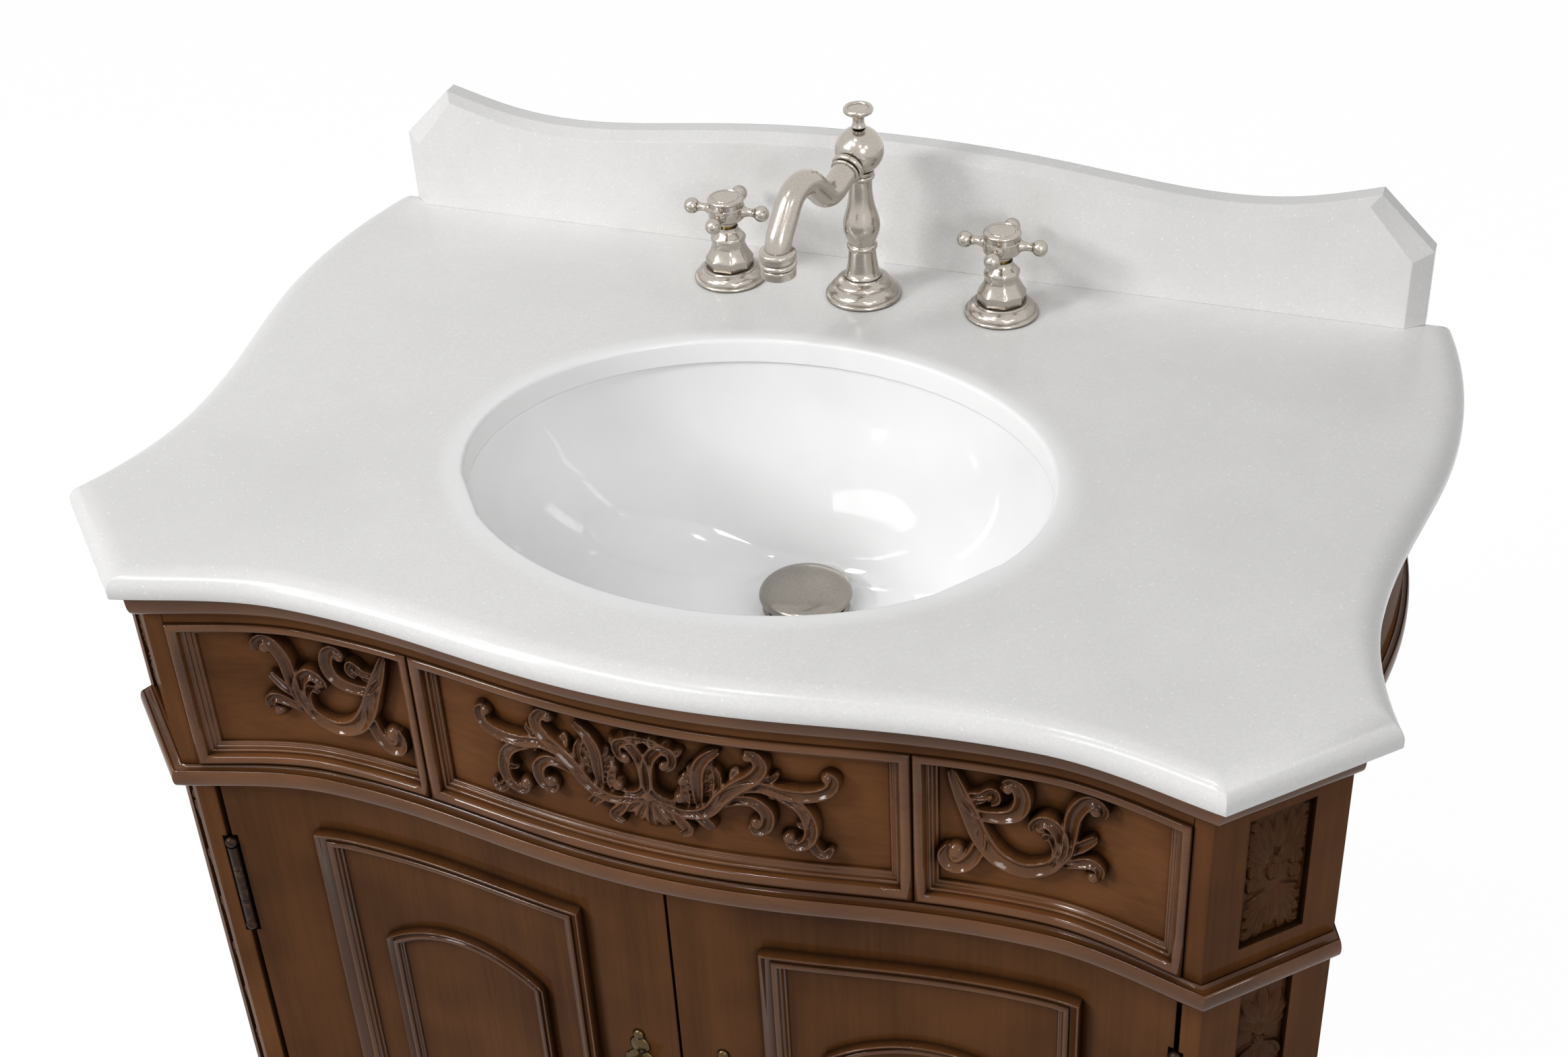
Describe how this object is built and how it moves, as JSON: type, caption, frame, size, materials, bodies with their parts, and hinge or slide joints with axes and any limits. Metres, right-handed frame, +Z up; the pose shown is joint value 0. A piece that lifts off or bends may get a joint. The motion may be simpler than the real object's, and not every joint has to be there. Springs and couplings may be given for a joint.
{
  "type": "vanity unit",
  "caption": "Bow-front carved wood bathroom vanity with clipped corners, marble top and splash, oval undermount basin, widespread cross-handle faucet and pop-up drain.",
  "frame": {"origin": "on the floor, under the middle of the whole unit's width and depth", "axes": "+Z up; -Y is the front with the doors, +Y the wall side; +X to the right seen from the front"},
  "size_m": [0.848, 0.52, 1.0254],
  "materials": {
    "marble": "polished white crystalline marble",
    "glazed_white": "gloss white glaze",
    "carved_wood": "stained hardwood with dark glaze in the hollows, satin lacquer",
    "case_board": "plain board, sealed",
    "brushed_nickel": "satin nickel plate",
    "plumbing_brass": "plain machined brass",
    "dark_bronze": "dark oiled bronze",
    "antique_brass": "antiqued brass, dark in the hollows",
    "clip_steel": "bright zinc-plated steel",
    "grey_plastic": "moulded plastic"
  },
  "bodies": {
    "case": {"countertop": "marble", "backsplash": "marble", "sink_basin": "glazed_white", "corner_post_left": "carved_wood", "corner_post_right": "carved_wood", "post_carvings_left": "carved_wood", "post_carvings_right": "carved_wood", "frieze_board": "carved_wood", "frieze_frames": "carved_wood", "frieze_scroll_left": "carved_wood", "frieze_scroll_right": "carved_wood", "frieze_ornament": "carved_wood", "top_moulding": "carved_wood", "waist_moulding": "carved_wood", "base_moulding": "carved_wood", "bottom_rail": "carved_wood", "plinth": "carved_wood", "side_panel_left": "carved_wood", "side_panel_right": "carved_wood", "side_frames_left": "carved_wood", "side_frames_right": "carved_wood", "back_posts": "case_board", "back_panel": "case_board", "cabinet_floor": "case_board", "corner_blocks": "case_board", "spout_flange": "brushed_nickel", "spout_column": "brushed_nickel", "handle_flanges": "brushed_nickel", "bonnets": "brushed_nickel", "drain_flange": "brushed_nickel", "valve_bodies": "plumbing_brass", "faucet_nuts": "plumbing_brass", "drain_body": "plumbing_brass", "drain_locknut": "plumbing_brass", "tailpiece": "plumbing_brass", "hinge_fixed_leaves": "dark_bronze", "hinge_pins": "dark_bronze", "sink_clips": "clip_steel", "foot_glides": "grey_plastic", "door_catch": "grey_plastic"},
    "door_left": {"door_panel_left": "carved_wood", "door_frame_left": "carved_wood", "door_arch_left": "carved_wood", "hinge_leaves_left": "dark_bronze", "pull_plate_left": "antique_brass"},
    "door_right": {"door_panel_right": "carved_wood", "door_frame_right": "carved_wood", "door_arch_right": "carved_wood", "hinge_leaves_right": "dark_bronze", "pull_plate_right": "antique_brass"},
    "drop_left": {"pull_drop_left": "antique_brass"},
    "drop_right": {"pull_drop_right": "antique_brass"},
    "spout": {"spout_arm": "brushed_nickel", "aerator": "brushed_nickel"},
    "hot_handle": {"handle_left": "brushed_nickel"},
    "cold_handle": {"handle_right": "brushed_nickel"},
    "lift": {"lift_rod": "brushed_nickel", "lift_strap": "plumbing_brass"},
    "pivot": {"pivot_rod": "plumbing_brass"},
    "stopper": {"drain_stopper": "brushed_nickel"}
  },
  "joints": [
    {"name": "door_left_hinge", "type": "hinge", "parent": "case", "child": "door_left", "pos_m": [-0.3224, -0.22815, 0.4205], "axis": [0, 0, -1], "range_deg": [0, 110]},
    {"name": "door_right_hinge", "type": "hinge", "parent": "case", "child": "door_right", "pos_m": [0.3224, -0.22815, 0.4205], "axis": [0, 0, 1], "range_deg": [0, 110]},
    {"name": "drop_left_pin", "type": "hinge", "parent": "door_left", "child": "drop_left", "pos_m": [-0.03, -0.24622, 0.52022], "axis": [-1, 0, 0], "range_deg": [0, 75]},
    {"name": "drop_right_pin", "type": "hinge", "parent": "door_right", "child": "drop_right", "pos_m": [0.03, -0.24622, 0.52022], "axis": [-1, 0, 0], "range_deg": [0, 75]},
    {"name": "spout_swivel", "type": "hinge", "parent": "case", "child": "spout", "pos_m": [0, 0.191, 0.985], "axis": [0, 0, 1], "range_deg": [-43, 66]},
    {"name": "hot_valve", "type": "hinge", "parent": "case", "child": "hot_handle", "pos_m": [-0.1016, 0.191, 0.93], "axis": [0, 0, 1], "range_deg": [0, 90]},
    {"name": "cold_valve", "type": "hinge", "parent": "case", "child": "cold_handle", "pos_m": [0.1016, 0.191, 0.93], "axis": [0, 0, -1], "range_deg": [0, 90]},
    {"name": "lift_slide", "type": "slide", "parent": "case", "child": "lift", "axis": [0, 0, 1], "range_m": [0, 0.03358]},
    {"name": "pivot_rock", "type": "hinge", "parent": "case", "child": "pivot", "pos_m": [0, 0.067, 0.64], "axis": [1, 0, 0], "range_deg": [0, 15.6]},
    {"name": "stopper_slide", "type": "slide", "parent": "case", "child": "stopper", "axis": [0, 0, 1], "range_m": [-0.00605, 0]}
  ],
  "couplings": [
    {"joint": "pivot_rock", "follows": "lift_slide", "rad_per_m": 8.0645},
    {"joint": "stopper_slide", "follows": "lift_slide", "ratio": -0.17866}
  ]
}
